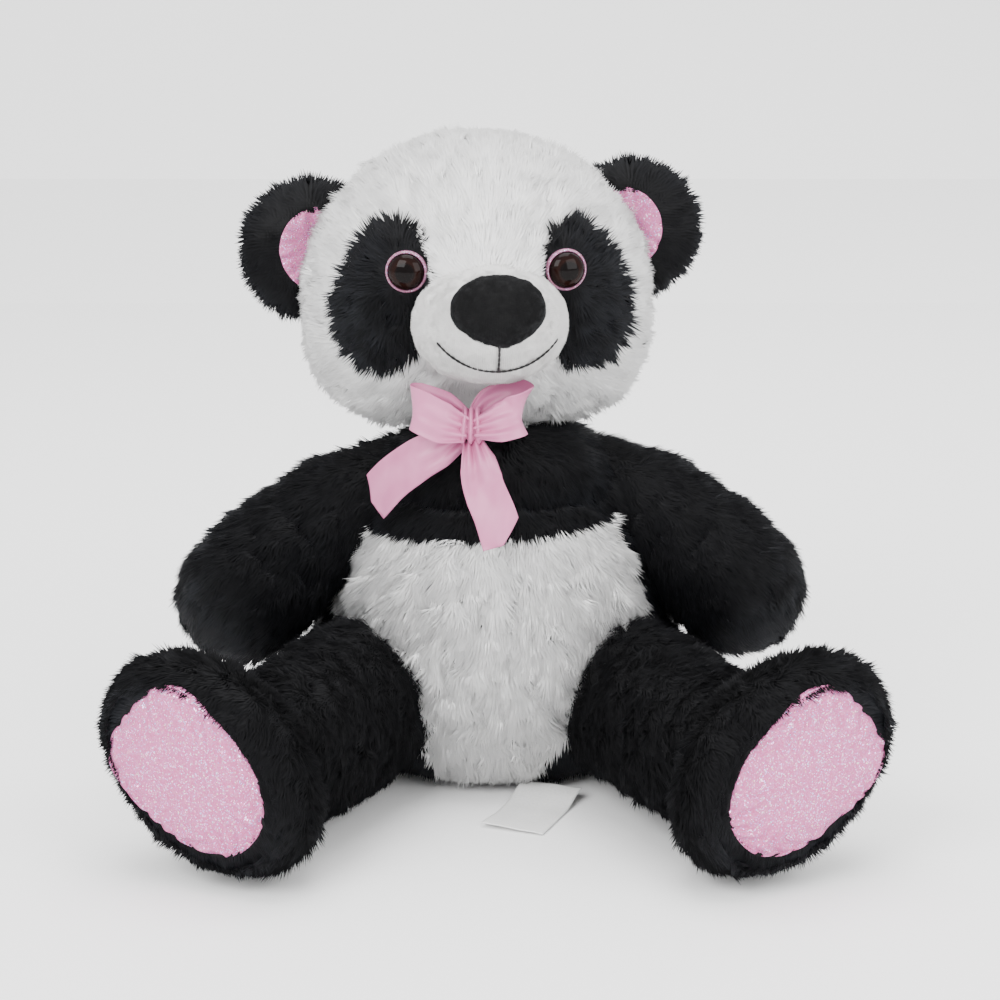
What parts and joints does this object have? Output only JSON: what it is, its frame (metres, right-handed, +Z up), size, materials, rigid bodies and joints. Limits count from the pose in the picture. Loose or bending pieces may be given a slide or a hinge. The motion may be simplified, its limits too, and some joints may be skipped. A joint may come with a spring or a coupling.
{
  "type": "seated plush panda",
  "caption": "Seated stuffed panda with white head and belly, black limbs that swing at the seams, glitter foot pads and a satin bow.",
  "frame": {"origin": "middle of the flat seat that the panda sits on", "axes": "+Z up, -Y the way the panda faces, +X towards its own left"},
  "size_m": [0.4276, 0.3733, 0.39],
  "materials": {
    "white_fur": "long soft pile",
    "black_fur": "long soft pile",
    "white_velvet": "short velvet pile",
    "black_velvet": "short velvet pile",
    "pink_glitter": "glitter knit with an iridescent film",
    "pink_satin": "satin ribbon",
    "white_satin": "blank satin label",
    "thread": "polyester thread",
    "stuffing": "polyester fibre fill",
    "eye_dark": "polished dome",
    "eye_glitter": "pink glitter under a clear coat",
    "eye_plastic": "plain moulded"
  },
  "bodies": {
    "torso": {"torso_stuffing": "stuffing", "belly_panel": "white_fur", "seat_panel": "black_fur", "chest_panel": "black_fur", "back_panel_left": "black_fur", "back_panel_right": "black_fur", "flank_left": "black_fur", "flank_right": "black_fur", "closing_stitches": "thread", "neck_ribbon": "pink_satin", "bow_knot": "pink_satin", "bow_loop_left": "pink_satin", "bow_loop_right": "pink_satin"},
    "neck": {"neck_stuffing": "stuffing"},
    "head": {"head_stuffing": "stuffing", "face_strip": "white_fur", "cheek_left": "white_fur", "cheek_right": "white_fur", "head_back_left": "white_fur", "head_back_right": "white_fur", "eye_patch_left": "black_fur", "eye_patch_right": "black_fur", "muzzle_cover": "white_velvet", "muzzle_stuffing": "stuffing", "nose_cover": "black_velvet", "nose_stuffing": "stuffing", "mouth_thread": "thread", "eye_dome_left": "eye_dark", "eye_ring_left": "eye_glitter", "eye_post_left": "eye_plastic", "eye_washer_left": "eye_plastic", "eye_dome_right": "eye_dark", "eye_ring_right": "eye_glitter", "eye_post_right": "eye_plastic", "eye_washer_right": "eye_plastic"},
    "label": {"care_label": "white_satin"},
    "ear_left": {"ear_fur_left": "black_fur", "ear_lining_left": "pink_glitter", "ear_stuffing_left": "stuffing"},
    "arm_left": {"arm_back_fur_left": "black_fur", "arm_front_fur_left": "black_fur", "arm_stuffing_left": "stuffing"},
    "leg_left": {"leg_outer_fur_left": "black_fur", "leg_inner_fur_left": "black_fur", "leg_stuffing_left": "stuffing", "foot_pad_left": "pink_glitter"},
    "bow_tail_left": {"bow_tail_left": "pink_satin"},
    "ear_right": {"ear_fur_right": "black_fur", "ear_lining_right": "pink_glitter", "ear_stuffing_right": "stuffing"},
    "arm_right": {"arm_back_fur_right": "black_fur", "arm_front_fur_right": "black_fur", "arm_stuffing_right": "stuffing"},
    "leg_right": {"leg_outer_fur_right": "black_fur", "leg_inner_fur_right": "black_fur", "leg_stuffing_right": "stuffing", "foot_pad_right": "pink_glitter"},
    "bow_tail_right": {"bow_tail_right": "pink_satin"}
  },
  "joints": [
    {"name": "neck_turn", "type": "hinge", "parent": "torso", "child": "neck", "pos_m": [0, 0, 0.213], "axis": [0, 0, 1], "range_deg": [-18, 18], "stiffness_Nm_per_rad": 0.8},
    {"name": "neck_nod", "type": "hinge", "parent": "neck", "child": "head", "pos_m": [0, 0, 0.213], "axis": [-0.9969, -0.0785, 0], "range_deg": [0, 12], "stiffness_Nm_per_rad": 2},
    {"name": "ear_fold_left", "type": "hinge", "parent": "head", "child": "ear_left", "pos_m": [0.06955, 0.01621, 0.32286], "axis": [-0.2752, -0.0217, 0.9611], "range_deg": [-12, 15], "stiffness_Nm_per_rad": 0.15},
    {"name": "ear_fold_right", "type": "hinge", "parent": "head", "child": "ear_right", "pos_m": [-0.09374, 0.00336, 0.31446], "axis": [-0.1687, -0.0133, -0.9856], "range_deg": [-12, 15], "stiffness_Nm_per_rad": 0.15},
    {"name": "arm_raise_left", "type": "hinge", "parent": "torso", "child": "arm_left", "pos_m": [0.078, -0.004, 0.16], "axis": [-1, 0, 0], "range_deg": [0, 40], "stiffness_Nm_per_rad": 0.5},
    {"name": "arm_raise_right", "type": "hinge", "parent": "torso", "child": "arm_right", "pos_m": [-0.078, -0.004, 0.16], "axis": [-1, 0, 0], "range_deg": [0, 40], "stiffness_Nm_per_rad": 0.5},
    {"name": "leg_raise_left", "type": "hinge", "parent": "torso", "child": "leg_left", "pos_m": [0.078, -0.06, 0.0535], "axis": [-0.9184, -0.3956, 0], "range_deg": [0, 12], "stiffness_Nm_per_rad": 1.5},
    {"name": "leg_raise_right", "type": "hinge", "parent": "torso", "child": "leg_right", "pos_m": [-0.078, -0.06, 0.0535], "axis": [-0.9184, 0.3956, 0], "range_deg": [0, 12], "stiffness_Nm_per_rad": 1.5},
    {"name": "tail_lift_left", "type": "hinge", "parent": "torso", "child": "bow_tail_left", "pos_m": [-0.01119, -0.08721, 0.20795], "axis": [-0.9788, -0.103, -0.1772], "range_deg": [0, 35]},
    {"name": "tail_lift_right", "type": "hinge", "parent": "torso", "child": "bow_tail_right", "pos_m": [-0.02471, -0.07919, 0.21283], "axis": [-0.5306, 0.2476, 0.8106], "range_deg": [0, 35]},
    {"name": "label_flap", "type": "hinge", "parent": "torso", "child": "label", "pos_m": [0.029, -0.087, 0.006], "axis": [-0.9336, 0.3584, 0], "range_deg": [0, 20]}
  ]
}
